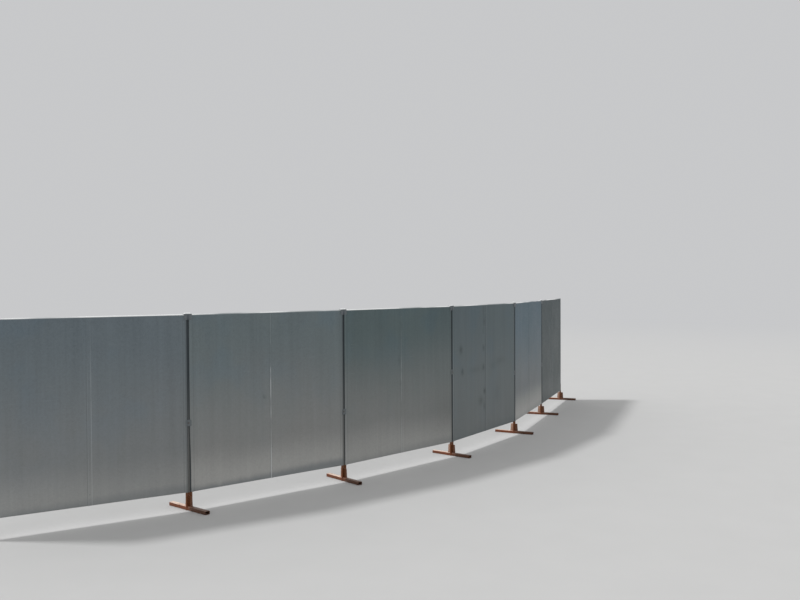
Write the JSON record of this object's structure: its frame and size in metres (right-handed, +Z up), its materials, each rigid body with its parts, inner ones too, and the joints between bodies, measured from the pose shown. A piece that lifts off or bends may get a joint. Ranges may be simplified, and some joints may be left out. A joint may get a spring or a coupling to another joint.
{
  "type": "site hoarding run",
  "caption": "Free-standing run of steel sheet hoarding bays that follows a bend, with tube frames, saddles, pressed clamps and painted steel feet.",
  "frame": {"origin": "on the floor under the middle of the first foot", "axes": "+X along the run from the first foot to the last, -Y to the road side, +Z up"},
  "size_m": [12.6136, 2.0772, 2.2182],
  "materials": {
    "galvanised_sheet": "dull galvanised, weathered",
    "galvanised_tube": "hot-dip galvanised",
    "zinc_fitting": "zinc-plated, dull",
    "orange_paint": "orange paint, rusted and dusty"
  },
  "bodies": {
    "root": {"bay_1_frame": "galvanised_tube", "bay_1_left_sheet": "galvanised_sheet", "bay_1_right_sheet": "galvanised_sheet", "bay_2_frame": "galvanised_tube", "bay_2_left_sheet": "galvanised_sheet", "bay_2_right_sheet": "galvanised_sheet", "bay_3_frame": "galvanised_tube", "bay_3_left_sheet": "galvanised_sheet", "bay_3_right_sheet": "galvanised_sheet", "bay_4_frame": "galvanised_tube", "bay_4_left_sheet": "galvanised_sheet", "bay_4_right_sheet": "galvanised_sheet", "bay_5_frame": "galvanised_tube", "bay_5_left_sheet": "galvanised_sheet", "bay_5_right_sheet": "galvanised_sheet", "bay_6_frame": "galvanised_tube", "bay_6_left_sheet": "galvanised_sheet", "bay_6_right_sheet": "galvanised_sheet", "foot_0": "orange_paint", "foot_1": "orange_paint", "foot_2": "orange_paint", "foot_3": "orange_paint", "foot_4": "orange_paint", "foot_5": "orange_paint", "foot_6": "orange_paint", "joint_strip_1": "galvanised_sheet", "saddle_1": "zinc_fitting", "clamp_1_front": "zinc_fitting", "clamp_1_back": "zinc_fitting", "joint_strip_2": "galvanised_sheet", "saddle_2": "zinc_fitting", "clamp_2_front": "zinc_fitting", "clamp_2_back": "zinc_fitting", "joint_strip_3": "galvanised_sheet", "saddle_3": "zinc_fitting", "clamp_3_front": "zinc_fitting", "clamp_3_back": "zinc_fitting", "joint_strip_4": "galvanised_sheet", "saddle_4": "zinc_fitting", "clamp_4_front": "zinc_fitting", "clamp_4_back": "zinc_fitting", "joint_strip_5": "galvanised_sheet", "saddle_5": "zinc_fitting", "clamp_5_front": "zinc_fitting", "clamp_5_back": "zinc_fitting"}
  },
  "joints": []
}
